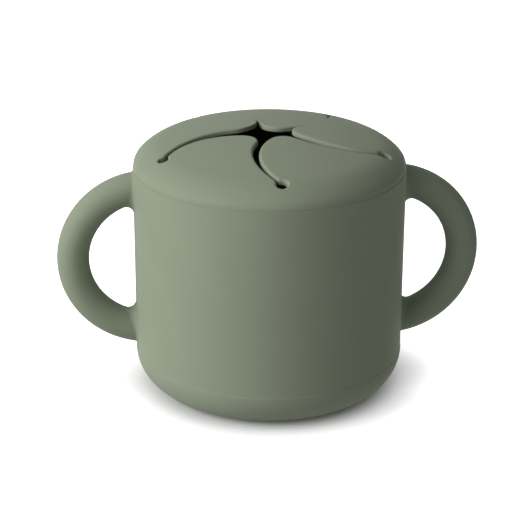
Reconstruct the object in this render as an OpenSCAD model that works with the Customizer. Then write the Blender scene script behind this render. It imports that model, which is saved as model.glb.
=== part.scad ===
// Snack cup for a toddler: a soft cup with two handles, and a domed lid with five soft flaps
// that a small hand pushes through. Origin: middle of the flat base, on the table. +Z is up,
// and the handles lie along X. All sizes are in millimetres.

/* [Cup] */
// Outer diameter at the rim, under the lid
cup_d = 89; // [82:0.5:100]
// How much the side leans in from the rim to the rounded base corner
cup_taper = 0.1; // [0:0.1:4]
// Height of the rim above the table
cup_h = 75.5; // [66:0.5:110]
// Thickness of the side wall
cup_wall = 2.5; // [2:0.1:3.2]
// Thickness of the floor
cup_floor = 3; // [2:0.1:5]
// Outside radius of the rounded base corner
base_corner_r = 12.6; // [8:0.2:16]
// Bevel on the outer edge of the rim
rim_bevel = 0.5; // [0.2:0.1:0.8]
// Width of the ledge of the mould line, which runs round the top of the base corner
mould_ledge = 0.12; // [0.05:0.01:0.3]

/* [Handles] */
// Distance from the cup's axis to the outermost point of a handle
handle_reach = 70; // [64:0.5:80]
// Radius of the circle that a handle's centre line follows
handle_bend_r = 24.9; // [20:0.1:26]
// Diameter of a handle's round section
handle_d = 10.3; // [8:0.1:13]
// Distance from the rim down to a handle's middle
handle_drop = 31; // [30.5:0.5:34]

/* [Lid] */
// Thickness of the lid and its flaps
lid_wall = 2.0; // [1.8:0.1:3]
// Radius of the wide arc over the crown
crown_r = 157; // [130:1:250]
// Width of the rounded shoulder, from the lid's side to the crown
shoulder_w = 9.25; // [8.5:0.05:10]
// Radius of the shoulder's upper arc
shoulder_r = 16.4; // [14:0.1:20]
// Radius of the shoulder's lower arc, which runs down into the side
shoulder_low_r = 4.2; // [3.6:0.1:5]
// Open seam between the lid and the rim
seam_gap = 0.3; // [0.2:0.05:0.6]
// Depth of the plug ring in the cup's mouth
plug_h = 7; // [4:0.5:12]
// Thickness of the plug ring
plug_wall = 1.5; // [1.2:0.1:1.8]
// Clearance between the plug ring and the cup's wall
plug_gap = 0.35; // [0.25:0.05:0.6]
// Height of the web that joins the plug ring to the lid's side
plug_web = 2.4; // [2:0.1:2.6]
// Radius of the seal bead round the plug ring
bead_r = 0.8; // [0.5:0.1:1.2]
// Clearance that the seal bead leaves
bead_gap = 0.12; // [0.1:0.01:0.2]

/* [Slits and flaps] */
// Angle of the front slit's end, anticlockwise from +X
slit_front_a = 269; // [250:1:290]
// Distance from the lid's side in to the end of a slit
slit_end_inset = 6.1; // [5:0.1:8]
// Radius of the round hole that ends a slit
slit_hole_r = 1.5; // [1.2:0.1:1.8]
// Distance from the slit's end, along its radius, to the point where it bows out most
slit_mid_back = 15.4; // [14:0.1:18]
// Sideways bow of the slit at that point
slit_bow = 6; // [5:0.1:7]
// Distance along the slit's radius to its inner end
slit_in_x = 9.5; // [8:0.5:11]
// Sideways shift of the slit's inner end
slit_in_shift = 3.1; // [2.5:0.1:4]
// Width of a slit at its inner end
slit_gap_in = 2.6; // [2.2:0.1:3]
// Width of a slit where it bows out most
slit_gap_mid = 2.3; // [1.9:0.1:2.8]
// Width of a slit at its outer end
slit_gap_end = 1.3; // [1.1:0.1:1.8]
// Radius of a flap's rounded tip
flap_tip_r = 5.5; // [4.5:0.1:6]
// Distance from the straight line between two slit ends in to the line that a flap bends about
hinge_inset = 2.1; // [1:0.1:3]
// Clearance round a flap's root
hinge_gap = 0.3; // [0.2:0.05:0.4]

/* [Hidden] */
$fn = 96;
sage = [0.50, 0.55, 0.45];
flap_n = 5;
sector_a = 360 / flap_n;
far = 200;

cup_r = cup_d / 2;
cup_base_r = cup_r - cup_taper;
mouth_r = cup_r - cup_wall;
base_corner_x = cup_base_r + mould_ledge - base_corner_r;
handle_r = handle_d / 2;
handle_x = handle_reach - handle_bend_r - handle_r;
handle_z = cup_h - handle_drop;

slit_end_r = cup_r - slit_end_inset;
slit_mid_x = slit_end_r - slit_mid_back;

// Lid profile: three arcs that run into each other, each turned from upright by crown_a and shoulder_a
lid_z = cup_h + seam_gap;
crown_edge_r = cup_r - shoulder_w;
crown_a = asin(crown_edge_r / crown_r);
shoulder_a = asin(
  (shoulder_w + shoulder_r * sin(crown_a) - shoulder_low_r) / (shoulder_r - shoulder_low_r)
);
low_c = [cup_r - shoulder_low_r, lid_z];
shoulder_c = low_c - (shoulder_r - shoulder_low_r) * [sin(shoulder_a), cos(shoulder_a)];
crown_c = shoulder_c - (crown_r - shoulder_r) * [sin(crown_a), cos(crown_a)];
plug_r = mouth_r - plug_gap;
wedge_overlap = 2;

// Height of the lid's outer surface at a distance r from the axis, as far as the shoulder's upper arc
function surface_z(r) =
  r < crown_edge_r
    ? crown_c[1] + sqrt(crown_r ^ 2 - r ^ 2)
    : shoulder_c[1] + sqrt(shoulder_r ^ 2 - (r - shoulder_c[0]) ^ 2);

// A flap's root is a part of a cylinder round the line it bends about, just deep enough for the lid's
// wall at the middle of that line and at its ends
hinge_from_axis = slit_end_r * cos(sector_a / 2) - hinge_inset;
hinge_top = surface_z(hinge_from_axis);
hinge_low = surface_z(hinge_from_axis / cos(sector_a / 2)) - lid_wall / cos(crown_a);
hinge_z = (hinge_top + hinge_low) / 2;
root_margin = 0.06;
root_r = (hinge_top - hinge_low) / 2 + root_margin;

// Centre of the circle through three points
function circle_centre(a, b, c) =
  let (
    ab = b - a,
    ac = c - a,
    cross2 = 2 * (ab[0] * ac[1] - ab[1] * ac[0])
  )
  a + [
    ac[1] * (ab * ab) - ab[1] * (ac * ac),
    ab[0] * (ac * ac) - ac[0] * (ab * ab)
  ] / cross2;

// The point, nearer to the lid's centre, that lies ra from point a and rb from point b
function crossing(a, ra, b, rb) =
  let (
    d = norm(b - a),
    along = (d ^ 2 + ra ^ 2 - rb ^ 2) / (2 * d),
    side = sqrt(ra ^ 2 - along ^ 2),
    u = (b - a) / d,
    foot = a + along * u,
    p = foot + side * [-u[1], u[0]],
    q = foot - side * [-u[1], u[0]]
  )
  norm(p) < norm(q) ? p : q;

function turned(p, angle) = [
  p[0] * cos(angle) - p[1] * sin(angle),
  p[0] * sin(angle) + p[1] * cos(angle)
];
function towards(a, b) = (b - a) / norm(b - a);

// A slit in its own axes: x runs from the lid's centre to the slit's end, and its middle line is one arc
slit_in = [slit_in_x, -slit_in_shift];
slit_mid = [slit_mid_x, -slit_bow];
slit_end = [slit_end_r, 0];
slit_c = circle_centre(slit_in, slit_mid, slit_end);
slit_arc_r = norm(slit_end - slit_c);

// The two walls of a slit are arcs too: side is 1 for the outer wall and -1 for the inner one
function wall_point(p, gap, side) = slit_c + towards(slit_c, p) * (slit_arc_r + side * gap / 2);
function wall_centre(side) = circle_centre(
  wall_point(slit_in, slit_gap_in, side),
  wall_point(slit_mid, slit_gap_mid, side),
  wall_point(slit_end, slit_gap_end, side)
);
outer_c = wall_centre(1);
inner_c = wall_centre(-1);
outer_r = norm(wall_point(slit_mid, slit_gap_mid, 1) - outer_c);
inner_r = norm(wall_point(slit_mid, slit_gap_mid, -1) - inner_c);

// A flap lies inside the inner wall of one slit and outside the outer wall of the next. Its tip is a
// circle that touches both walls, a hair larger so that it meets them at a clear angle.
tip_overlap = 0.03;
next_c = turned(outer_c, sector_a);
tip_c = crossing(inner_c, inner_r - flap_tip_r, next_c, outer_r + flap_tip_r);
tip_a = tip_c + flap_tip_r * towards(inner_c, tip_c);
tip_b = tip_c + flap_tip_r * towards(tip_c, next_c);

module disc_at(centre, r) {
  translate(centre) circle(r);
}

// A wedge from point c between two directions, each measured from upright towards the side
module wedge(c, from_a, to_a) {
  polygon([
    c,
    c + far * [sin(from_a), cos(from_a)],
    c + far * [sin(to_a), cos(to_a)]
  ]);
}

// Half section of the solid under the lid's outer surface, with that surface moved in by inset. Each
// smaller arc touches the larger one from inside, so its wedge may start a little early.
module lid_half_section(inset) {
  intersection() {
    translate([0, lid_z]) square(far);
    union() {
      intersection() {
        disc_at(crown_c, crown_r - inset);
        polygon([
          crown_c,
          [0, far],
          crown_c + 2 * far * [sin(crown_a), cos(crown_a)]
        ]);
      }
      intersection() {
        disc_at(shoulder_c, shoulder_r - inset);
        wedge(shoulder_c, crown_a - wedge_overlap, shoulder_a);
      }
      intersection() {
        disc_at(low_c, shoulder_low_r - inset);
        wedge(low_c, shoulder_a - wedge_overlap, 90);
      }
    }
  }
}

module lid_shell() {
  rotate_extrude() difference() {
    lid_half_section(0);
    lid_half_section(lid_wall);
  }
}

// The crown's arc alone, carried on a little past its edge: a flap's root corners reach just over it
module crown_shell() {
  rotate_extrude() intersection() {
    difference() {
      disc_at(crown_c, crown_r);
      disc_at(crown_c, crown_r - lid_wall);
    }
    translate([0, lid_z]) square(cup_r);
  }
}

module plug_ring() {
  web_out = cup_r - lid_wall / 2;
  rotate_extrude() union() {
    polygon([
      [plug_r - plug_wall, lid_z - plug_h],
      [plug_r, lid_z - plug_h],
      [plug_r, lid_z],
      [web_out, lid_z],
      [web_out, lid_z + plug_web],
      [plug_r - plug_wall, lid_z + plug_web]
    ]);
    disc_at([mouth_r - bead_gap - bead_r, lid_z - plug_h / 2], bead_r);
  }
}

module cup_outside() {
  rotate_extrude() union() {
    polygon([
      [0, 0],
      [base_corner_x, 0],
      [base_corner_x + base_corner_r, base_corner_r],
      [cup_base_r, base_corner_r],
      [cup_r, cup_h - rim_bevel],
      [cup_r - rim_bevel, cup_h],
      [0, cup_h]
    ]);
    intersection() {
      disc_at([base_corner_x, base_corner_r], base_corner_r);
      square([far, base_corner_r]);
    }
  }
}

module cup_inside() {
  corner_r = base_corner_r - cup_wall;
  side_r = cup_base_r - cup_wall;
  rotate_extrude() union() {
    polygon([
      [0, cup_floor],
      [side_r - corner_r, cup_floor],
      [side_r, cup_floor + corner_r],
      [mouth_r, cup_h],
      [mouth_r, far],
      [0, far]
    ]);
    disc_at([side_r - corner_r, cup_floor + corner_r], corner_r);
  }
}

// side is 1 for the handle at +X and -1 for the one at -X
module handle(side) {
  color(sage) difference() {
    translate([side * handle_x, 0, handle_z])
      rotate([90, 0, 0])
        rotate_extrude() translate([handle_bend_r, 0]) circle(handle_r);
    cup_outside();
  }
}

// Outline of a flap, in the axes of the slit that comes before it
module flap_outline() {
  across = tip_b - tip_a;
  union() {
    difference() {
      disc_at(inner_c, inner_r);
      disc_at(next_c, outer_r);
      disc_at(slit_end, slit_hole_r);
      disc_at(turned(slit_end, sector_a), slit_hole_r);
      translate(tip_a)
        rotate(atan2(across[1], across[0]))
          translate([-far / 2, tip_side() > 0 ? 0 : -far]) square(far);
    }
    disc_at(tip_c, flap_tip_r + tip_overlap);
  }
}

// Which side of the line from tip_a to tip_b the lid's centre lies on
function tip_side() =
  let (across = tip_b - tip_a, back = -tip_a)
  across[0] * back[1] - across[1] * back[0];

// The space in which a flap and its root lie and turn, widened by gap, in the axes of its first slit
module flap_space(gap) {
  rotate(sector_a / 2) union() {
    translate([hinge_from_axis - far, -far / 2, 0]) cube([far, far, far]);
    translate([hinge_from_axis, far / 2, hinge_z]) rotate([90, 0, 0]) cylinder(h = far, r = root_r + gap);
  }
}

// Room below a flap's root, so that the lid's wall ends squarely there and clears the bent flap
module room_below_root() {
  reach = (root_r + hinge_gap) * cos(30);
  rotate(sector_a / 2) translate([0, -far / 2, 0]) cube([hinge_from_axis + reach, far, hinge_z]);
}

// All that lies between the middle lines of two slits
module between_slits() {
  linear_extrude(far) difference() {
    disc_at(slit_c, slit_arc_r);
    disc_at(turned(slit_c, sector_a), slit_arc_r);
  }
}

// A slit, cut right through, from the opening to its end hole
module slit() {
  linear_extrude(far) union() {
    intersection() {
      difference() {
        disc_at(outer_c, outer_r);
        disc_at(inner_c, inner_r);
      }
      translate([0, -far / 2]) square([slit_end_r, far / 2]);
    }
    disc_at(slit_end, slit_hole_r);
  }
}

module cup_body() {
  color(sage) difference() {
    cup_outside();
    cup_inside();
  }
}

module lid_ring() {
  color(sage) difference() {
    union() {
      lid_shell();
      plug_ring();
    }
    cylinder(h = far, r = hinge_from_axis - 2 * root_r);
    for (k = [0 : flap_n - 1]) rotate(slit_front_a + k * sector_a) {
      slit();
      intersection() {
        between_slits();
        union() {
          flap_space(hinge_gap);
          room_below_root();
        }
      }
    }
  }
}

// Flaps are numbered anticlockwise from the front slit
module flap(number) {
  color(sage) rotate(slit_front_a + (number - 1) * sector_a) intersection() {
    crown_shell();
    linear_extrude(far) flap_outline();
    flap_space(0);
  }
}

cup_body();
handle(-1);  // left_handle
handle(1);  // right_handle
lid_ring();
flap(1);  // flap_1
flap(2);  // flap_2
flap(3);  // flap_3
flap(4);  // flap_4
flap(5);  // flap_5
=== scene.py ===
"""A toddler's snack cup in soft matte silicone: a two-handled cup and a domed lid with five flaps.

Lengths are in millimetres until MM turns them into metres. The axes are the frame's: x runs to the
right handle, y away from the viewer and z up the cup's axis.
"""
import math
from typing import NamedTuple

import bpy
import numpy as np
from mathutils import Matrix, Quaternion, Vector
from mathutils.geometry import delaunay_2d_cdt

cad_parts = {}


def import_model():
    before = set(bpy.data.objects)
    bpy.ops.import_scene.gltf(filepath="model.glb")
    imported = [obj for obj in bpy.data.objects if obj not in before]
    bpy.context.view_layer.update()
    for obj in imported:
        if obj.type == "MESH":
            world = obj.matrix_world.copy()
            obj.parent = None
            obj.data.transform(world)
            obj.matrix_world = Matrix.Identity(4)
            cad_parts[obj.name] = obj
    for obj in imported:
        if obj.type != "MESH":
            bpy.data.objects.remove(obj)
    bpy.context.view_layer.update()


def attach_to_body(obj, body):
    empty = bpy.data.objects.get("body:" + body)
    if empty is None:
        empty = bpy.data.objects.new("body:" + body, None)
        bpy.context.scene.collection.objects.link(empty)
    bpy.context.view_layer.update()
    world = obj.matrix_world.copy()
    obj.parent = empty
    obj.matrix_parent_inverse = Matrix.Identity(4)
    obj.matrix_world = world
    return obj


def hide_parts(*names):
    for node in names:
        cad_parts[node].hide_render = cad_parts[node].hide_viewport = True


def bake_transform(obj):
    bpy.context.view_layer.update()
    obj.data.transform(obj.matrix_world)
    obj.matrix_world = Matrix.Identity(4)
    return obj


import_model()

# ---------------------------------------------------------------- sizes, in millimetres
MM = 0.001

# The cup's side widens by its taper up to the rim. A faint mould ledge runs above the base's corner.
CUP_R = 44.5
CUP_H = 75.5
CUP_TAPER = 0.1
CUP_WALL = 2.5
CUP_FLOOR = 3.0
BASE_CORNER_R = 12.6
MOULD_LEDGE = 0.1
MOULD_LEDGE_H = 0.3
RIM_ROUND = 0.2
MOUTH_ROUND = 0.6

HANDLE_REACH = 70.0
HANDLE_BEND_R = 24.78
HANDLE_R = 5.27
HANDLE_Z = 44.5
SMALL_FILLET_R = 0.9
LARGE_FILLET_R = 2.6

# The dome starts a gap above the cup's rim. In the photo the seam is shut, so the lid's side runs down
# to a foot that lies a hair above the rim, and stands a hair inside the cup's side.
SEAM_GAP = 0.3
SIDE_INSET = 0.13
FOOT_GAP = 0.02
LID_R = CUP_R - SIDE_INSET
LID_Z = CUP_H + SEAM_GAP
LID_FOOT_Z = CUP_H + FOOT_GAP
LID_WALL = 2.0
CROWN_R = 157.0
SHOULDER_W = 9.25
SHOULDER_R = 16.4
SHOULDER_LOW_R = 4.2
LID_EDGE_ROUND = 0.05

# The lid's plug stands in the cup's mouth, with a seal bead halfway down it.
PLUG_GAP = 0.35
PLUG_R = CUP_R - CUP_WALL - PLUG_GAP
PLUG_WALL = 1.5
PLUG_H = 7.0
PLUG_TIP_R = 0.35 * PLUG_WALL
PLUG_ROOT_CUT = 0.1
BEAD_GAP = 0.12
BEAD_R = 0.8
BEAD_ROOM = 1.0

# Each flap bends about a straight line, over a half width to either side of it, and its skin ends on a
# border just outside that. Its tip is thinner than its root.
FLAPS = 5
SECTOR = math.radians(360 / FLAPS)
SLIT_FRONT = math.radians(269)
SLIT_HOLE_R = 1.75
HINGE_FROM_AXIS = 28.97
BEND_HALF = 2.1
BORDER_FROM_AXIS = HINGE_FROM_AXIS + BEND_HALF
EDGE_UNDER_R = 0.45
FLAP_THIN_BY = 0.2
FLAP_THIN_FROM = 30.0
FLAP_THIN_OVER = 12.0

# A length too short to matter, and how close two points of a half section are when they are one.
HAIR = 1e-6
SAME_POINT = 1e-5

# ---------------------------------------------------------------- plane geometry


def polar(angle):
    """Unit vector in the plane, at an angle from the x axis."""
    return np.array([math.cos(angle), math.sin(angle)])


def turned(p, angle):
    """Plane points turned about the origin."""
    c, s = math.cos(angle), math.sin(angle)
    p = np.asarray(p, float)
    return np.stack([p[..., 0] * c - p[..., 1] * s, p[..., 0] * s + p[..., 1] * c], -1)


def angle_of(v):
    return math.atan2(v[1], v[0])


def eased(share):
    """A share from 0 to 1 that starts and ends gently."""
    return share * share * (3 - 2 * share)


def circle_centre(a, b, c):
    """Centre of the circle through three points."""
    ab, ac = b - a, c - a
    twice = 2 * (ab[0] * ac[1] - ab[1] * ac[0])
    return a + np.array([
        ac[1] * (ab @ ab) - ab[1] * (ac @ ac),
        ab[0] * (ac @ ac) - ac[0] * (ab @ ab),
    ]) / twice


def crossing(a, ra, b, rb):
    """The point nearer to the lid's centre that lies ra from a and rb from b."""
    d = np.linalg.norm(b - a)
    along = (d * d + ra * ra - rb * rb) / (2 * d)
    side = math.sqrt(ra * ra - along * along)
    u = (b - a) / d
    foot, across = a + along * u, side * np.array([-u[1], u[0]])
    return min(foot + across, foot - across, key=np.linalg.norm)


def arc(centre, r, start, end, step):
    """Points along an arc from one angle to another, either way round, about a step apart."""
    n = max(2, math.ceil(abs(end - start) * r / step))
    return np.array([centre + r * polar(t) for t in np.linspace(start, end, n + 1)])


def after(angle, start):
    """The same direction as angle, counted anticlockwise from start."""
    return start + (angle - start) % (2 * math.pi)


def before(angle, start):
    """The same direction as angle, counted clockwise from start."""
    return start - (start - angle) % (2 * math.pi)


def resampled(points, step):
    """The polyline's points again, evenly spaced and about a step apart."""
    s = np.concatenate([[0], np.cumsum(np.linalg.norm(np.diff(points, axis=0), axis=1))])
    at = np.linspace(0, s[-1], max(2, round(s[-1] / step)) + 1)
    return np.stack([np.interp(at, s, points[:, i]) for i in range(points.shape[1])], 1)


def inside(points, loop):
    """Which points lie inside a closed loop."""
    x, y = points[:, 0][:, None], points[:, 1][:, None]
    a, b = loop, np.roll(loop, -1, axis=0)
    spans = (a[:, 1] > y) != (b[:, 1] > y)
    with np.errstate(divide="ignore", invalid="ignore"):
        cross_x = a[:, 0] + (y - a[:, 1]) * (b[:, 0] - a[:, 0]) / (b[:, 1] - a[:, 1])
    return (np.sum(spans & (x < cross_x), axis=1) % 2) == 1


def nearest(points, others):
    """Distance from each point to the nearest of the others."""
    d = points[:, None, :] - others[None, :, :]
    return np.sqrt((d * d).sum(-1).min(1))


# ---------------------------------------------------------------- the lid's dome

CROWN_EDGE_R = LID_R - SHOULDER_W
CROWN_A = math.asin(CROWN_EDGE_R / CROWN_R)
SHOULDER_A = math.asin(
    (SHOULDER_W + SHOULDER_R * math.sin(CROWN_A) - SHOULDER_LOW_R)
    / (SHOULDER_R - SHOULDER_LOW_R)
)


def from_upright(angle):
    """Unit vector in the half section, as (radial, up), at an angle from the axis."""
    return np.array([math.sin(angle), math.cos(angle)])


LOW_C = np.array([LID_R - SHOULDER_LOW_R, LID_Z])
SHOULDER_C = LOW_C - (SHOULDER_R - SHOULDER_LOW_R) * from_upright(SHOULDER_A)
CROWN_C = SHOULDER_C - (CROWN_R - SHOULDER_R) * from_upright(CROWN_A)
DOME_ARCS = (
    (CROWN_C, CROWN_R, CROWN_A),
    (SHOULDER_C, SHOULDER_R, SHOULDER_A),
    (LOW_C, SHOULDER_LOW_R, math.pi / 2),
)


def dome(r, inset):
    """Height, and the two parts of the normal, of the dome at distances r from its axis."""
    r = np.asarray(r, float)
    z, out = np.zeros_like(r), np.zeros_like(r)
    start = -1.0
    for centre, radius, end_a in DOME_ARCS:
        radius = radius - inset
        end = centre[0] + radius * math.sin(end_a)
        here = (r > start) & (r <= end + HAIR)
        lean = np.clip((r[here] - centre[0]) / radius, -1, 1)
        z[here] = centre[1] + radius * np.sqrt(1 - lean * lean)
        out[here] = lean
        start = end
    return z, out


def thinning(r):
    """How much thinner the flaps are than the lid's rim, at distances r from the axis."""
    share = np.clip((FLAP_THIN_FROM - r) / FLAP_THIN_OVER, 0, 1)
    return FLAP_THIN_BY * eased(share)


def on_dome(xy, inset):
    """Points and normals of the dome above or below plane points."""
    r = np.linalg.norm(xy, axis=1)
    z, lean = dome(r, inset)
    if inset:
        z += thinning(r)
    away = xy / np.maximum(r, HAIR)[:, None]
    normal = np.column_stack([away * lean[:, None], np.sqrt(1 - lean * lean)])
    return np.column_stack([xy, z]), normal


# ---------------------------------------------------------------- slits and flap outlines

SLIT_INNER_X = 9.5
SLIT_MIDDLE_X = 23.0
TIP_FROM_AXIS = 7.0

# Shares of a flap's outline: its first slit's edge ends at the first, its tip's edge lies between the
# second and the third, and its next slit's edge starts at the last.
TIP_SHARES = (0.4, 0.46, 0.54, 0.6)


class Slit(NamedTuple):
    """One slit of this cup's lid, in axes whose x runs from the lid's centre to its regular end."""

    gaps: tuple  # its width at its inner end, middle and outer end
    inner_y: float  # where its inner end lies, at SLIT_INNER_X
    middle_y: float  # where its middle lies, at SLIT_MIDDLE_X
    end_r: float  # its end hole's distance from the lid's axis
    end_turn: float  # its end hole's turn from its regular place, in degrees
    edge_r: float  # the radius of its upper edges


class FlapLie(NamedTuple):
    """How one soft flap of this cup lies."""

    tip_r: float  # the radius of its tip, seen from above
    tip_edge_r: float  # the radius of its tip's upper edge
    tip_moved: tuple  # how far its tip has moved along the flap, across it and upwards


SLITS = (
    Slit((2.6, 1.35, 0.7), -3.1, -5.75, 37.5, 0.7, 0.95),
    Slit((1.6, 1.3, 1.0), -3.55, -6.4, 37.8, -1.5, 1.1),
    Slit((0.4, 0.1, 1.6), -3.1, -6.0, 36.2, -2.0, 0.3),
    Slit((-0.2, -0.3, 0.3), -2.9, -6.0, 37.8, 0.0, 0.3),
    Slit((3.5, 1.9, 1.1), -4.5, -6.0, 37.1, 2.2, 0.7),
)
FLAP_LIES = (
    FlapLie(5.5, 0.95, (-0.6, 0.3, 0.04)),
    FlapLie(5.0, 0.95, (2.9, 0.0, -0.5)),
    FlapLie(6.0, 0.8, (-1.1, -1.2, -0.2)),
    FlapLie(8.5, 0.3, (-0.4, 0.0, 0.1)),
    FlapLie(5.5, 0.7, (1.5, 0.0, -0.5)),
)


def slits_beside(number):
    """The slit before a flap and the one after it. Slits count from 0 and flaps from 1."""
    return SLITS[number - 1], SLITS[number % FLAPS]


def hole_centre(slit):
    """Centre of a slit's end hole, in the slit's own axes."""
    return slit.end_r * polar(math.radians(slit.end_turn))


def slit_wall(side, slit):
    """Centre and radius of a slit's wall: side is 1 for the outer wall and -1 for the inner one."""
    inner = np.array([SLIT_INNER_X, slit.inner_y])
    middle = np.array([SLIT_MIDDLE_X, slit.middle_y])
    line = inner, middle, hole_centre(slit)
    line_c = circle_centre(*line)
    points = [
        p + side * gap / 2 * (p - line_c) / np.linalg.norm(p - line_c)
        for p, gap in zip(line, slit.gaps)
    ]
    centre = circle_centre(*points)
    return centre, np.linalg.norm(points[1] - centre)


def edge_radii(number, count):
    """Radius of a flap's upper edge at each point of its outline, from one slit to the next."""
    first, last = (slit.edge_r for slit in slits_beside(number))
    tip = FLAP_LIES[number - 1].tip_edge_r
    share = np.linspace(0, 1, count)[:, None]
    return np.interp(share, TIP_SHARES, (first, tip, tip, last))


def hole_centres(number):
    """The two end holes beside a flap, in its first slit's axes."""
    first, last = slits_beside(number)
    return hole_centre(first), turned(hole_centre(last), SECTOR)


def settled(points, normals, number):
    """Moves a flap's points as the flap lies, most at its tip and not at all where it bends."""
    angle = SLIT_FRONT + (number - 0.5) * SECTOR
    along, across = np.array([*polar(angle), 0]), np.array([*polar(angle + math.pi / 2), 0])
    moved = FLAP_LIES[number - 1].tip_moved @ np.array([along, across, [0, 0, 1]])
    length = HINGE_FROM_AXIS - TIP_FROM_AXIS
    share = np.clip((HINGE_FROM_AXIS - points @ along) / length, 0, 1)
    weight = eased(share)

    # The weight's change along the flap tilts the normals as it tilts the surface.
    slope = -6 * share * (1 - share) / length
    tilt = slope * (normals @ moved) / (1 + slope * (along @ moved))
    return points + weight[:, None] * moved, normals - tilt[:, None] * along


# A flap's border leaves one end hole and meets the next, outside the line that the flap bends about.
# These are its directions at the two holes, from each slit's own axis, and how far each one reaches.
BORDER_START = math.radians(101)
BORDER_END = math.radians(-75)
BORDER_PULL = (15.0, 8.0)
BORDER_STEP = 0.7
CURVE_POINTS = 200
OUTLINE_STEP = 0.1
EDGE_STEP = 0.3
EDGE_ANGLES = np.radians(np.linspace(0, 90, 7))

# A flap's outline is blurred by its softness, but for a short way at its two ends.
CORNER_SOFTNESS = 0.5
SOFT_FROM = 0.2
SOFT_OVER = 0.9


def softened(points):
    """An outline with its corners blurred, all but its two ends."""
    reach = int(4 * CORNER_SOFTNESS / OUTLINE_STEP)
    weights = np.exp(-0.5 * (np.arange(-reach, reach + 1) * OUTLINE_STEP / CORNER_SOFTNESS) ** 2)
    weights /= weights.sum()
    padded = np.pad(points, ((reach, reach), (0, 0)), mode="edge")
    soft = np.stack([np.convolve(padded[:, i], weights, "valid") for i in (0, 1)], 1)
    index = np.arange(len(points))
    from_end = np.minimum(index, index[::-1]) * OUTLINE_STEP
    share = np.clip((from_end - SOFT_FROM) / SOFT_OVER, 0, 1)[:, None]
    return points + (soft - points) * eased(share)


def free_edge(number):
    """The outline of a flap from one end hole round its tip to the next, in its first slit's axes."""
    step = OUTLINE_STEP
    tip_r = FLAP_LIES[number - 1].tip_r
    first, last = slits_beside(number)
    end_a, end_b = hole_centres(number)
    inner_c, inner_r = slit_wall(-1, first)
    outer_c, outer_r = slit_wall(1, last)
    next_c = turned(outer_c, SECTOR)
    tip_c = crossing(inner_c, inner_r - tip_r, next_c, outer_r + tip_r)
    hole_a = crossing(end_a, SLIT_HOLE_R, inner_c, inner_r)
    hole_b = crossing(end_b, SLIT_HOLE_R, next_c, outer_r)
    tip_a, tip_b = angle_of(tip_c - inner_c), angle_of(next_c - tip_c)
    wall_a, wall_b = angle_of(hole_a - inner_c), angle_of(tip_c - next_c)
    hole_start, hole_end = angle_of(hole_a - end_a), angle_of(hole_b - end_b)
    parts = [
        arc(end_a, SLIT_HOLE_R, BORDER_START, after(hole_start, BORDER_START), step),
        arc(inner_c, inner_r, wall_a, before(tip_a, wall_a), step),
        arc(tip_c, tip_r, tip_a, before(tip_b, tip_a), step),
        arc(next_c, outer_r, wall_b, after(angle_of(hole_b - next_c), wall_b), step),
        arc(end_b, SLIT_HOLE_R, hole_end, after(BORDER_END + SECTOR, hole_end), step),
    ]
    return resampled(softened(resampled(np.vstack(parts), step)), EDGE_STEP)


def hole_edge(slit):
    """The part of an end hole that belongs to the ring, in its slit's axes."""
    return arc(hole_centre(slit), SLIT_HOLE_R, BORDER_END, BORDER_START, EDGE_STEP)


def inward_normals(edge, first, last):
    """Unit vectors into the material, on the right of an edge's direction."""
    t = np.gradient(edge, axis=0)
    n = np.stack([t[:, 1], -t[:, 0]], 1)
    n /= np.linalg.norm(n, axis=1)[:, None]
    n[0], n[-1] = first, last
    return n


def border(number):
    """Plane points of a flap's border between the rounded edges of its two end holes."""
    first, last = slits_beside(number)
    end_a, end_b = hole_centres(number)
    start_dir, end_dir = polar(BORDER_START), polar(BORDER_END + SECTOR)
    a = end_a + (SLIT_HOLE_R + first.edge_r) * start_dir
    d = end_b + (SLIT_HOLE_R + last.edge_r) * end_dir
    b, c = a + BORDER_PULL[0] * start_dir, d + BORDER_PULL[1] * end_dir
    t = np.linspace(0, 1, CURVE_POINTS)[:, None]
    curve = (1 - t) ** 3 * a + 3 * (1 - t) ** 2 * t * b + 3 * (1 - t) * t * t * c + t ** 3 * d
    return resampled(curve, BORDER_STEP)


# ---------------------------------------------------------------- mesh building

# Points of a skin are welded when they share a cell of a grid with this many cells to a millimetre.
WELD_CELLS = 2000


class Shell:
    """Collects patches of one closed skin and welds them where they share points."""

    def __init__(self):
        self.points, self.normals, self.faces, self.count = [], [], [], 0

    def add(self, points, normals, faces):
        self.points.append(np.array(points, float))
        self.normals.append(np.array(normals, float))
        self.faces += [tuple(i + self.count for i in f) for f in faces]
        self.count += len(points)

    def add_grid(self, points, normals, flip=False, closed=False):
        """A patch of rows by columns of points. A closed one joins its last column to its first."""
        rows, columns = points.shape[:2]
        faces = []
        for i in range(rows - 1):
            for j in range(columns if closed else columns - 1):
                k = (j + 1) % columns
                quad = (i * columns + j, i * columns + k, (i + 1) * columns + k, (i + 1) * columns + j)
                faces.append(quad[::-1] if flip else quad)
        self.add(points.reshape(-1, 3), normals.reshape(-1, 3), faces)

    def piece(self, name, material):
        """The visible object of the whole skin, with its points welded and the normals it was given."""
        points, normals = np.vstack(self.points), np.vstack(self.normals)
        keys = np.round(points * WELD_CELLS).astype(np.int64)
        _, first, same = np.unique(keys, axis=0, return_index=True, return_inverse=True)
        same = same.reshape(-1)
        faces = []
        for f in self.faces:
            g = [int(same[i]) for i in f]
            g = [v for i, v in enumerate(g) if v != g[i - 1]]
            if len(set(g)) > 2:
                faces.append(g)
        mesh = bpy.data.meshes.new(name)
        mesh.from_pydata((points[first] * MM).tolist(), [], faces)
        mesh.validate()
        mesh.polygons.foreach_set("use_smooth", [True] * len(mesh.polygons))
        unit = normals[first] / np.linalg.norm(normals[first], axis=1)[:, None]
        mesh.normals_split_custom_set_from_vertices(unit.tolist())
        mesh.materials.append(material)
        piece = bpy.data.objects.new(name, mesh)
        bpy.context.scene.collection.objects.link(piece)
        return piece


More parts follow.
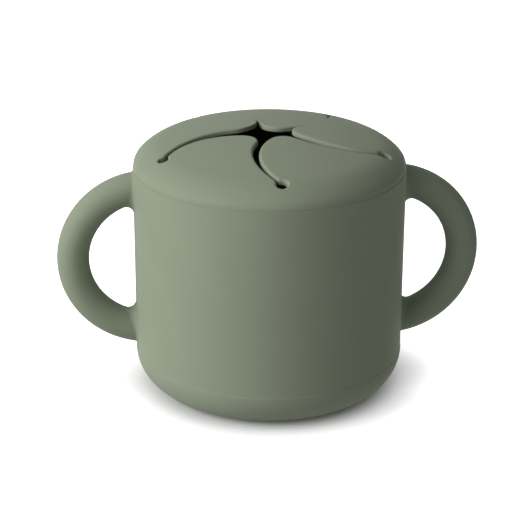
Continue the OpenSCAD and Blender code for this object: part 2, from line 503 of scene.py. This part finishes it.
def profile_normals(profile):
    """Normals on the right of a half section's direction, as (radial, up)."""
    t = np.gradient(profile, axis=0)
    n = np.stack([t[:, 1], -t[:, 0]], 1)
    return n / np.linalg.norm(n, axis=1)[:, None]


def add_revolved(shell, profile, segments):
    """Turns a half section round the axis. It runs with the material on its left."""
    profile = np.asarray(profile, float)
    normals = profile_normals(profile)
    for end in (0, -1):
        if profile[end, 0] < HAIR:
            normals[end] = (0, math.copysign(1, normals[end, 1]))
    angles = np.linspace(0, 2 * math.pi, segments, endpoint=False)
    c, s = np.cos(angles), np.sin(angles)
    points = np.stack([np.outer(profile[:, 0], c), np.outer(profile[:, 0], s),
                       np.repeat(profile[:, 1:], segments, 1)], -1)
    around = np.stack([np.outer(normals[:, 0], c), np.outer(normals[:, 0], s),
                       np.repeat(normals[:, 1:], segments, 1)], -1)
    shell.add_grid(points, around, closed=True)


def section_arc(centre, r, start_deg, end_deg, step):
    """Points along an arc of a half section, about a step apart."""
    return arc(np.asarray(centre, float), r, math.radians(start_deg), math.radians(end_deg), step)


def section_line(a, b, step):
    """Points along a line of a half section, about a step apart."""
    n = max(1, math.ceil(math.dist(a, b) / step))
    return np.linspace(a, b, n + 1)


def joined(*parts):
    """One half section from parts that run on from each other."""
    points = np.vstack([np.atleast_2d(p) for p in parts])
    keep = np.concatenate([[True], np.linalg.norm(np.diff(points, axis=0), axis=1) > SAME_POINT])
    return points[keep]


FILL_MERGE = 1e-7


def filled(loops, extra):
    """Triangles that fill the first loop around the others, through the extra points."""
    points = np.vstack([*loops, extra])
    edges, start = [], 0
    for loop in loops:
        n = len(loop)
        edges += [(start + i, start + (i + 1) % n) for i in range(n)]
        start += n
    made = delaunay_2d_cdt([Vector(p) for p in points], edges, [], 0, FILL_MERGE)
    source = [o[0] if o else None for o in made[3]]
    faces = [f for f in made[2] if all(source[v] is not None for v in f)]
    middles = np.array([points[[source[v] for v in f]].mean(0) for f in faces])
    keep = inside(middles, loops[0])
    for hole in loops[1:]:
        keep &= ~inside(middles, hole)
    result = []
    for f, wanted in zip(faces, keep):
        if not wanted:
            continue
        a, b, c = (source[v] for v in f)
        u, v = points[b] - points[a], points[c] - points[a]
        result.append((a, b, c) if u[0] * v[1] - u[1] * v[0] > 0 else (a, c, b))
    return points, result


# ---------------------------------------------------------------- the lid's pieces

# How deep in the lid a surface lies: its top or its underside.
TOP, UNDER = 0.0, LID_WALL
WALL_ROWS = 3
FILL_STEP = 0.8
FILL_CLEAR = 0.4


def edge_rows(edge, inward, inset, radius):
    """Rows of points and normals over a rounded edge, from its wall to the dome."""
    points, normals = [], []
    for a in EDGE_ANGLES:
        xy = edge + inward * radius * (1 - math.cos(a))
        p, n = on_dome(xy, inset)
        if inset:
            n = -n
        p[:, 2:] += (1 if inset else -1) * radius * (1 - math.sin(a))
        gapward = np.column_stack([-inward, np.zeros(len(edge))])
        points.append(p)
        normals.append(gapward * math.cos(a) + n * math.sin(a))
    return np.array(points), np.array(normals)


def add_edge(shell, edge, inward, radius):
    """The rounded rim of a slit or an end hole: its top edge, wall and under edge.

    Returns the two rows where it joins the surfaces above and below, as plane points.
    """
    top, top_n = edge_rows(edge, inward, TOP, radius)
    under, under_n = edge_rows(edge, inward, UNDER, EDGE_UNDER_R)
    shell.add_grid(top, top_n, flip=True)
    shell.add_grid(under, under_n)
    share = np.linspace(0, 1, WALL_ROWS + 1)[:, None, None]
    wall = top[0][None] * (1 - share) + under[0][None] * share
    shell.add_grid(wall, np.repeat(top_n[:1], WALL_ROWS + 1, 0))
    return top[-1][:, :2], under[-1][:, :2]


def add_border_wall(shell, number, across, flip):
    """The hidden end wall of a piece along a flap's border, which closes it."""
    end_a, end_b = hole_centres(number)
    share = np.linspace(0, 1, WALL_ROWS + 1)[:, None, None]
    start_dir, end_dir = polar(BORDER_START), polar(BORDER_END + SECTOR)
    columns, facing = [], []
    edge_r = [slit.edge_r for slit in slits_beside(number)]
    for inset, (r_a, r_b) in ((TOP, edge_r), (UNDER, (EDGE_UNDER_R, EDGE_UNDER_R))):
        d = (1 - np.cos(EDGE_ANGLES))[:, None]
        rise = (1 - np.sin(EDGE_ANGLES)) * (1 if inset else -1)
        xy = np.vstack([
            end_a + (SLIT_HOLE_R + r_a * d) * start_dir,
            across[1:-1],
            (end_b + (SLIT_HOLE_R + r_b * d) * end_dir)[::-1],
        ])
        p, normal = on_dome(xy, inset)
        n = len(EDGE_ANGLES)
        p[:n, 2] += r_a * rise
        p[-n:, 2] += r_b * rise[::-1]
        columns.append(p)
        facing.append(-normal if inset else normal)
    wall = columns[0][None] * (1 - share) + columns[1][None] * share
    normals = np.array([facing[0]] * WALL_ROWS + [facing[1]])
    shell.add_grid(wall, normals, flip=flip)


def turn_shell(shell, angle):
    """Turns what a shell holds so far about the lid's axis."""
    for group in (shell.points, shell.normals):
        for block in group:
            block[:, :2] = turned(block[:, :2], angle)


def grid_inside(loop, angle):
    """A square grid of points inside a loop, lined up with an angle."""
    flat = turned(loop, -angle)
    low, high = flat.min(0), flat.max(0)
    xs, ys = np.arange(low[0], high[0], FILL_STEP), np.arange(low[1], high[1], FILL_STEP)
    points = turned(np.stack(np.meshgrid(xs, ys), -1).reshape(-1, 2), angle)
    points = points[inside(points, loop)]
    return points[nearest(points, loop) > FILL_CLEAR]


def add_sheet(shell, loops, extra, inset):
    """The dome's surface, or its underside, over a plane region."""
    xy, faces = filled(loops, extra)
    points, normals = on_dome(xy, inset)
    if inset:
        normals = -normals
        faces = [f[::-1] for f in faces]
    shell.add(points, normals, faces)


def make_flap(number, material):
    shell = Shell()
    edge = free_edge(number)
    inward = inward_normals(edge, polar(BORDER_START), polar(BORDER_END + SECTOR))
    rows = add_edge(shell, edge, inward, edge_radii(number, len(edge)))
    across = border(number)
    for inset, row in zip((TOP, UNDER), rows):
        loop = np.vstack([row, across[1:-1][::-1]])
        add_sheet(shell, [loop], grid_inside(loop, SECTOR / 2), inset)
    add_border_wall(shell, number, across, flip=True)
    turn_shell(shell, SLIT_FRONT + (number - 1) * SECTOR)
    for i, (points, normals) in enumerate(zip(shell.points, shell.normals)):
        shell.points[i], shell.normals[i] = settled(points, normals, number)
    return shell.piece(f"flap_{number}_skin", material)


# The ring's top is filled up to the join, and turned as a half section beyond it.
RING_SEGMENTS = 360
JOIN_R = 41.6
RING_START = 0.7
RING_TURN = 0.5

# The distance between points along a half section, from its smallest roundings to its straight walls.
TINY_STEP = 0.02
RIM_STEP = 0.05
FINE_STEP = 0.1
ROUND_STEP = 0.3
WIDE_STEP = 0.5
WALL_STEP = 0.8
SIDE_STEP = 2.0
LONG_STEP = 2.5


def lid_profile():
    """Half section of the lid: its shoulder, side and foot, and the plug up to the dome's underside."""
    join_deg = math.degrees(math.acos(float(dome(JOIN_R, TOP)[1])))
    low_deg = 90 - math.degrees(SHOULDER_A)
    foot_c = (LID_R - LID_EDGE_ROUND, LID_FOOT_Z + LID_EDGE_ROUND)
    plug_in = PLUG_R - PLUG_WALL
    under_z = float(dome(plug_in, UNDER)[0])
    tip_z = LID_Z - PLUG_H + PLUG_TIP_R
    bead_z = LID_Z - PLUG_H / 2
    bead_c = (PLUG_R + PLUG_GAP - BEAD_GAP - BEAD_R, bead_z)
    bead_half = math.degrees(math.acos((PLUG_R - bead_c[0]) / BEAD_R))
    return joined(
        section_arc(SHOULDER_C, SHOULDER_R, join_deg, low_deg, WIDE_STEP),
        section_arc(LOW_C, SHOULDER_LOW_R, low_deg, 0, ROUND_STEP),
        section_arc(foot_c, LID_EDGE_ROUND, 0, -90, TINY_STEP),
        section_line((foot_c[0], LID_FOOT_Z), (PLUG_R + PLUG_ROOT_CUT, LID_FOOT_Z), WALL_STEP),
        section_line((PLUG_R, LID_FOOT_Z - PLUG_ROOT_CUT), (PLUG_R, bead_z + BEAD_ROOM), WALL_STEP),
        section_arc(bead_c, BEAD_R, bead_half, -bead_half, FINE_STEP),
        section_line((PLUG_R, bead_z - BEAD_ROOM), (PLUG_R, tip_z), WALL_STEP),
        section_arc((PLUG_R - PLUG_TIP_R, tip_z), PLUG_TIP_R, 0, -90, FINE_STEP),
        section_arc((plug_in + PLUG_TIP_R, tip_z), PLUG_TIP_R, -90, -180, FINE_STEP),
        section_line((plug_in, tip_z), (plug_in, under_z), WALL_STEP),
    )[::-1]


def add_ring_holes(shell):
    """The ring's edges round the end holes and along the flaps.

    Returns the outlines that the flaps leave open in the ring's top and underside.
    """
    outlines = [], []
    for i, slit in enumerate(SLITS):
        part = Shell()
        across = border(i + 1)
        edge = hole_edge(slit)
        inward = inward_normals(edge, polar(BORDER_END), polar(BORDER_START))
        rows = add_edge(part, edge, inward, slit.edge_r)
        add_border_wall(part, i + 1, across, flip=False)
        angle = SLIT_FRONT + i * SECTOR
        turn_shell(part, angle)
        shell.add(np.vstack(part.points), np.vstack(part.normals), part.faces)
        for outline, row in zip(outlines, rows):
            outline += [turned(row, angle), turned(across[1:-1], angle)]
    return [np.vstack(outline) for outline in outlines]


def rings_inside(circle, radius):
    """Points on circles from a radius inwards to the flaps, each turned from the last."""
    circles = []
    for i, r in enumerate(np.arange(radius - RING_START, BORDER_FROM_AXIS, -FILL_STEP)):
        skip = max(1, round(len(circle) * FILL_STEP / (2 * math.pi * r)))
        circles.append(r * turned(circle[::skip], RING_TURN * i))
    return np.vstack(circles)


def make_ring(material):
    shell = Shell()
    holes = add_ring_holes(shell)
    angles = np.linspace(0, 2 * math.pi, RING_SEGMENTS, endpoint=False)
    circle = np.stack([np.cos(angles), np.sin(angles)], 1)
    for inset, hole, radius in zip((TOP, UNDER), holes, (JOIN_R, PLUG_R - PLUG_WALL)):
        extra = rings_inside(circle, radius)
        extra = extra[~inside(extra, hole)]
        extra = extra[nearest(extra, hole) > FILL_CLEAR]
        add_sheet(shell, [circle * radius, hole], extra, inset)
    add_revolved(shell, lid_profile(), RING_SEGMENTS)
    return shell.piece("lid_moulding", material)


# ---------------------------------------------------------------- the cup's pieces

CUP_BASE_R = CUP_R - CUP_TAPER
CUP_SEGMENTS = 288

# The mould ledge's slope ends this far from its lower and its upper side.
BEND_OUT = 0.02
BEND_UP = 0.03


def wall_r(z):
    """Outer radius of the cup's side at a height."""
    return CUP_BASE_R + CUP_TAPER * (z - BASE_CORNER_R) / (CUP_H - BASE_CORNER_R)


def make_cup(material):
    base_r = CUP_BASE_R + MOULD_LEDGE
    corner_x = base_r - BASE_CORNER_R
    in_side = CUP_BASE_R - CUP_WALL
    in_corner = BASE_CORNER_R - CUP_WALL
    mouth_r = CUP_R - CUP_WALL
    ledge_low, ledge_high = BASE_CORNER_R - MOULD_LEDGE_H / 2, BASE_CORNER_R + MOULD_LEDGE_H / 2
    bend_low = (base_r - BEND_OUT, BASE_CORNER_R - BEND_UP)
    bend_high = (CUP_BASE_R + BEND_OUT, BASE_CORNER_R + BEND_UP)
    profile = joined(
        section_line((0, 0), (corner_x, 0), LONG_STEP),
        section_arc((corner_x, BASE_CORNER_R), BASE_CORNER_R, -90, -1, WIDE_STEP),
        (base_r, ledge_low),
        section_line(bend_low, bend_high, RIM_STEP),
        section_line((CUP_BASE_R, ledge_high), (CUP_R, CUP_H - RIM_ROUND), SIDE_STEP),
        section_arc((CUP_R - RIM_ROUND, CUP_H - RIM_ROUND), RIM_ROUND, 0, 90, RIM_STEP),
        section_line((CUP_R - RIM_ROUND, CUP_H), (mouth_r + MOUTH_ROUND, CUP_H), WIDE_STEP),
        section_arc((mouth_r + MOUTH_ROUND, CUP_H - MOUTH_ROUND), MOUTH_ROUND, 90, 180, FINE_STEP),
        section_line((mouth_r, CUP_H - MOUTH_ROUND), (in_side, CUP_FLOOR + in_corner), LONG_STEP),
        section_arc((in_side - in_corner, CUP_FLOOR + in_corner), in_corner, 0, -90, WALL_STEP),
        section_line((in_side - in_corner, CUP_FLOOR), (0, CUP_FLOOR), LONG_STEP),
    )
    shell = Shell()
    add_revolved(shell, profile, CUP_SEGMENTS)
    return shell.piece("cup_moulding", material)


HANDLE_ROWS = 80
HANDLE_SIDES = 72
FILLET_ROWS = 10
SINK = 0.35

# The bend angles between which a handle's fillet meets the wall, and how often they are halved to find it.
CONTACT_LOW = math.radians(20)
CONTACT_HIGH = math.radians(120)
HALVINGS = 50


def handle_frame(t, s):
    """Centre and outward direction of the handle's tube, at bend angles t and section angles s."""
    centre_x = HANDLE_REACH - HANDLE_BEND_R - HANDLE_R
    out = np.stack([np.cos(t), np.zeros_like(t), np.sin(t)], -1)
    centre = out * HANDLE_BEND_R + [centre_x, 0, HANDLE_Z]
    outward = out * np.cos(s)[..., None] + np.array([0, 1.0, 0]) * np.sin(s)[..., None]
    return centre, outward


def fillet_r(s):
    """Radius of the fillet between tube and wall: smallest outside the bend, where the rim is near."""
    return (SMALL_FILLET_R + (LARGE_FILLET_R - SMALL_FILLET_R) * (1 - np.cos(s)) / 2)[:, None]


def contact_angles(s, sign):
    """Bend angles at which a ball of the fillet's size touches both the tube and the cup's wall."""
    r = fillet_r(s)
    low, high = np.full_like(s, CONTACT_LOW), np.full_like(s, CONTACT_HIGH)
    for _ in range(HALVINGS):
        t = (low + high) / 2
        centre, outward = handle_frame(sign * t, s)
        ball = centre + outward * (HANDLE_R + r)
        outside = np.hypot(ball[:, 0], ball[:, 1]) > wall_r(ball[:, 2]) + r[:, 0]
        low, high = np.where(outside, t, low), np.where(outside, high, t)
    return sign * t


def fillet_rows(s, sign):
    """Rows of the fillet from the tube to the wall, then the sunk row that hides its end."""
    t = contact_angles(s, sign)
    centre, outward = handle_frame(t, s)
    r = fillet_r(s)
    ball = centre + outward * (HANDLE_R + r)
    radial = ball * [1, 1, 0]
    radial /= np.linalg.norm(radial, axis=1)[:, None]
    points, normals = [], []
    turn = np.arccos(np.clip((outward * radial).sum(1), -1, 1))[:, None]
    for share in np.linspace(0, 1, FILLET_ROWS + 1):
        n = (outward * np.sin((1 - share) * turn) + radial * np.sin(share * turn)) / np.sin(turn)
        points.append(ball - n * r)
        normals.append(n)
    points.append(points[-1] - radial * SINK)
    normals.append(normals[-1])
    return t, np.array(points), np.array(normals)


def make_handle(name, side, material):
    s = np.linspace(0, 2 * math.pi, HANDLE_SIDES, endpoint=False)
    low_t, low_p, low_n = fillet_rows(s, -1)
    high_t, high_p, high_n = fillet_rows(s, 1)
    points, normals = list(low_p[::-1]), list(low_n[::-1])
    for share in np.linspace(0, 1, HANDLE_ROWS)[1:-1]:
        centre, outward = handle_frame(low_t * (1 - share) + high_t * share, s)
        points.append(centre + outward * HANDLE_R)
        normals.append(outward)
    points += list(high_p)
    normals += list(high_n)
    points, normals = np.array(points), np.array(normals)
    mirror = np.array([side, 1, 1])
    shell = Shell()
    shell.add_grid(points * mirror, normals * mirror, flip=side < 0, closed=True)
    for row, out in ((points[0], side > 0), (points[-1], side < 0)):
        cap = np.vstack([row, row.mean(0)]) * mirror
        fan = [(i, (i + 1) % HANDLE_SIDES, HANDLE_SIDES) for i in range(HANDLE_SIDES)]
        facing = np.tile([-side, 0.0, 0.0], (len(cap), 1))
        shell.add(cap, facing, [f[::-1] if out else f for f in fan])
    return shell.piece(name, material)


# ---------------------------------------------------------------- materials


def new_material(name):
    material = bpy.data.materials.new(name)
    material.use_nodes = True
    nodes = material.node_tree.nodes
    nodes.clear()
    return material, nodes, material.node_tree.links


def noise(nodes, links, coordinates, scale, detail):
    node = nodes.new("ShaderNodeTexNoise")
    node.inputs["Scale"].default_value = scale
    node.inputs["Detail"].default_value = detail
    node.inputs["Roughness"].default_value = 0.5
    links.new(coordinates, node.inputs["Vector"])
    return node.outputs["Fac"]


def bump(nodes, links, height, strength, distance):
    node = nodes.new("ShaderNodeBump")
    node.inputs["Strength"].default_value = strength
    node.inputs["Distance"].default_value = distance * MM
    links.new(height, node.inputs["Height"])
    return node


def ranged(nodes, links, value, source, target):
    """A value mapped from one pair of limits to another."""
    node = nodes.new("ShaderNodeMapRange")
    for socket, number in zip(("From Min", "From Max", "To Min", "To Max"), (*source, *target)):
        node.inputs[socket].default_value = number
    links.new(value, node.inputs["Value"])
    return node.outputs["Result"]


def computed(nodes, links, operation, *terms):
    """The outcome of a Math node, each of whose terms is a number or another node's output."""
    node = nodes.new("ShaderNodeMath")
    node.operation = operation
    for socket, term in zip(node.inputs, terms):
        if isinstance(term, float):
            socket.default_value = term
        else:
            links.new(term, socket)
    return node.outputs[0]


SAGE = (0.250, 0.286, 0.208)
SAGE_SHADE = (0.236, 0.271, 0.196)

# Each noise has its features to the metre and its detail: 2 cm clouds, 1.5 mm mottles, 0.2 mm grains.
CLOUD = (55, 3)
MOTTLE = (700, 2)
GRAIN = (5200, 2)
CLOUD_LIMITS = (0.3, 0.7)
CLOUD_SHARE = 0.65
MOTTLE_SHARE = 0.35
ROUGHNESS = (0.60, 0.68)

# The strength of a bump, and its height in millimetres.
GRAIN_BUMP = (0.25, 0.03)
CLOUD_BUMP = (0.15, 0.1)


def silicone(name):
    """Matte food-grade silicone: even sage with a faint cloudiness, and a very fine skin grain."""
    material, nodes, links = new_material(name)
    place = nodes.new("ShaderNodeTexCoord").outputs["Object"]
    cloud = noise(nodes, links, place, *CLOUD)
    mottle = noise(nodes, links, place, *MOTTLE)
    grain = noise(nodes, links, place, *GRAIN)
    blend = nodes.new("ShaderNodeMix")
    blend.data_type = "RGBA"
    blend.inputs["A"].default_value = (*SAGE_SHADE, 1)
    blend.inputs["B"].default_value = (*SAGE, 1)
    wide = ranged(nodes, links, cloud, CLOUD_LIMITS, (0.0, CLOUD_SHARE))
    share = computed(nodes, links, "MULTIPLY_ADD", mottle, MOTTLE_SHARE, wide)
    links.new(share, blend.inputs["Factor"])
    skin = nodes.new("ShaderNodeBsdfPrincipled")
    links.new(blend.outputs["Result"], skin.inputs["Base Color"])
    links.new(ranged(nodes, links, cloud, CLOUD_LIMITS, ROUGHNESS), skin.inputs["Roughness"])
    skin.inputs["Specular IOR Level"].default_value = 0.07
    skin.inputs["Sheen Weight"].default_value = 0.02
    skin.inputs["Sheen Roughness"].default_value = 0.5
    fine = bump(nodes, links, grain, *GRAIN_BUMP)
    soft = bump(nodes, links, cloud, *CLOUD_BUMP)
    links.new(fine.outputs["Normal"], soft.inputs["Normal"])
    links.new(soft.outputs["Normal"], skin.inputs["Normal"])
    out = nodes.new("ShaderNodeOutputMaterial")
    links.new(skin.outputs["BSDF"], out.inputs["Surface"])
    return material


# The paper's grey as seen, its darker grey as it gives light back, its glow on the cup and its glow as
# seen. The glow on the cup is painted light, standing in for light bounced up from the floor. The glow
# as seen fades where the cup is near enough to hide the sky. This paints a soft shadow round the cup,
# over the real shadow that the lamps cast on the paper's grey.
PAPER_SEEN = 0.61
PAPER_BOUNCE = 0.1
PAPER_GLOW = 0.375
PAPER_WHITE = 1.35
NEAR = 20.0
OPEN_SKY = (0.1, 1.05)
SHADOW_EASE = 1.4


def seen_ray(nodes, links):
    """1 for rays that show the floor or backdrop itself, 0 for those that carry its light elsewhere."""
    path = nodes.new("ShaderNodeLightPath")
    value = path.outputs["Is Camera Ray"]
    for ray in ("Is Glossy Ray", "Is Transmission Ray"):
        value = computed(nodes, links, "MAXIMUM", value, path.outputs[ray])
    return value


def paper():
    """White paper: it looks white but for the cup's soft shadow, partly cast and partly painted. It gives
    back only some light, and glows onto the cup as painted bounce light.
    """
    material, nodes, links = new_material("paper")
    seen = seen_ray(nodes, links)
    tone = nodes.new("ShaderNodeMix")
    tone.data_type = "RGBA"
    tone.inputs["A"].default_value = (PAPER_BOUNCE,) * 3 + (1,)
    tone.inputs["B"].default_value = (PAPER_SEEN,) * 3 + (1,)
    links.new(seen, tone.inputs["Factor"])
    matte = nodes.new("ShaderNodeBsdfDiffuse")
    links.new(tone.outputs["Result"], matte.inputs["Color"])
    # Painted shadow: ambient occlusion, not any lamp, darkens the seen white where the cup is near.
    open_sky = nodes.new("ShaderNodeAmbientOcclusion")
    open_sky.inputs["Distance"].default_value = NEAR * MM
    white = nodes.new("ShaderNodeMix")
    white.inputs["A"].default_value = PAPER_GLOW
    clear = ranged(nodes, links, open_sky.outputs["AO"], OPEN_SKY, (0, 1))
    shade = computed(nodes, links, "POWER", clear, SHADOW_EASE)
    links.new(computed(nodes, links, "MULTIPLY", shade, PAPER_WHITE), white.inputs["B"])
    links.new(seen, white.inputs["Factor"])
    # Seen rays get the white with its painted shadow. All other rays get painted light that glows onto the
    # cup.
    glow = nodes.new("ShaderNodeEmission")
    links.new(white.outputs["Result"], glow.inputs["Strength"])
    both = nodes.new("ShaderNodeAddShader")
    links.new(matte.outputs[0], both.inputs[0])
    links.new(glow.outputs[0], both.inputs[1])
    out = nodes.new("ShaderNodeOutputMaterial")
    links.new(both.outputs[0], out.inputs["Surface"])
    return material


# ---------------------------------------------------------------- stage, lights and camera

CAMERA_AZIMUTH = math.radians(-6.12)
CAMERA_ELEVATION = math.radians(22.31)
CAMERA_DISTANCE = 619.7
CAMERA_TARGET = (0.0, 0.0, 40.0)
CAMERA_ROLL = math.radians(0.355)
FOCAL_PIXELS = 1862.0
FRAME_PIXELS = 530.0
SENSOR_MM = 36.0
AIM_PIXEL = (269.05, 265.3)  # where the photo shows CAMERA_TARGET, from its upper left corner


def direction(azimuth, elevation):
    """Unit vector from the object towards a viewer or a lamp."""
    flat = math.cos(elevation)
    return Vector((math.sin(azimuth) * flat, -math.cos(azimuth) * flat, math.sin(elevation)))


def make_camera():
    """The photo's camera, as fitted to the cup's outline."""
    data = bpy.data.cameras.new("camera")
    camera = bpy.data.objects.new("camera", data)
    bpy.context.scene.collection.objects.link(camera)
    back = direction(CAMERA_AZIMUTH, CAMERA_ELEVATION)
    camera.location = (Vector(CAMERA_TARGET) + back * CAMERA_DISTANCE) * MM
    aim = (-back).to_track_quat("-Z", "Y")
    camera.rotation_mode = "QUATERNION"
    camera.rotation_quaternion = Quaternion(back, CAMERA_ROLL) @ aim
    data.sensor_width = SENSOR_MM
    data.lens = FOCAL_PIXELS / FRAME_PIXELS * SENSOR_MM
    data.shift_x = (FRAME_PIXELS / 2 - AIM_PIXEL[0]) / FRAME_PIXELS
    data.shift_y = (AIM_PIXEL[1] - FRAME_PIXELS / 2) / FRAME_PIXELS
    data.clip_start = 0.01
    data.clip_end = 10.0
    bpy.context.scene.camera = camera


LAMP_DISTANCE = 1500.0
LAMP_SIDE = 900.0

# Each lamp's azimuth from the front and its elevation, in degrees, and its power in watts.
LAMPS = {
    "key": (-78, 26, 20.8),
    "front_left": (-45, 30, 6.6),
    "back_fill": (180, 40, 3.4),
    "top_fill": (0, 85, 2.0),
    "right_fill": (30, 47, 1.8),
}


def make_lamp(name, azimuth_deg, elevation_deg, watts):
    """A square soft box that faces the middle of the cup."""
    data = bpy.data.lights.new(name, "AREA")
    data.shape = "SQUARE"
    data.size = LAMP_SIDE * MM
    data.energy = watts
    lamp = bpy.data.objects.new(name, data)
    bpy.context.scene.collection.objects.link(lamp)
    towards = direction(math.radians(azimuth_deg), math.radians(elevation_deg))
    lamp.location = (Vector(CAMERA_TARGET) + towards * LAMP_DISTANCE) * MM
    lamp.rotation_mode = "QUATERNION"
    lamp.rotation_quaternion = towards.to_track_quat("Z", "Y")


FLOOR_HALF = 6000.0


def make_stage():
    half = FLOOR_HALF * MM
    corners = [(-half, -half, 0), (half, -half, 0), (half, half, 0), (-half, half, 0)]
    mesh = bpy.data.meshes.new("floor")
    mesh.from_pydata(corners, [], [(0, 1, 2, 3)])
    mesh.materials.append(paper())
    floor = bpy.data.objects.new("floor", mesh)
    bpy.context.scene.collection.objects.link(floor)
    for name, lamp in LAMPS.items():
        make_lamp(name, *lamp)


def make_world():
    """A white backdrop that gives no light of its own."""
    world = bpy.data.worlds.new("studio")
    world.use_nodes = True
    nodes, links = world.node_tree.nodes, world.node_tree.links
    nodes.clear()
    back = nodes.new("ShaderNodeBackground")
    links.new(seen_ray(nodes, links), back.inputs["Strength"])
    out = nodes.new("ShaderNodeOutputWorld")
    links.new(back.outputs[0], out.inputs["Surface"])
    bpy.context.scene.world = world


# ---------------------------------------------------------------- assembly


def attach(node):
    """Hides the CAD node that a piece stands for."""
    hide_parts(node)


def main():
    cup_skin, lid_skin = silicone("cup_silicone"), silicone("lid_silicone")
    cup = make_cup(cup_skin)
    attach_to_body(cup, "cup")
    attach("cup_body")
    for name, side in (("left_handle", -1), ("right_handle", 1)):
        handle = make_handle(f"{name}_skin", side, cup_skin)
        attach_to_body(handle, "cup")
        attach(name)
    ring = make_ring(lid_skin)
    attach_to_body(ring, "lid")
    attach("lid_ring")
    for number in range(1, FLAPS + 1):
        flap = make_flap(number, lid_skin)
        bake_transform(flap)
        attach(f"flap_{number}")
    make_camera()
    make_stage()
    make_world()
    bpy.context.scene.view_settings.view_transform = "Standard"


main()
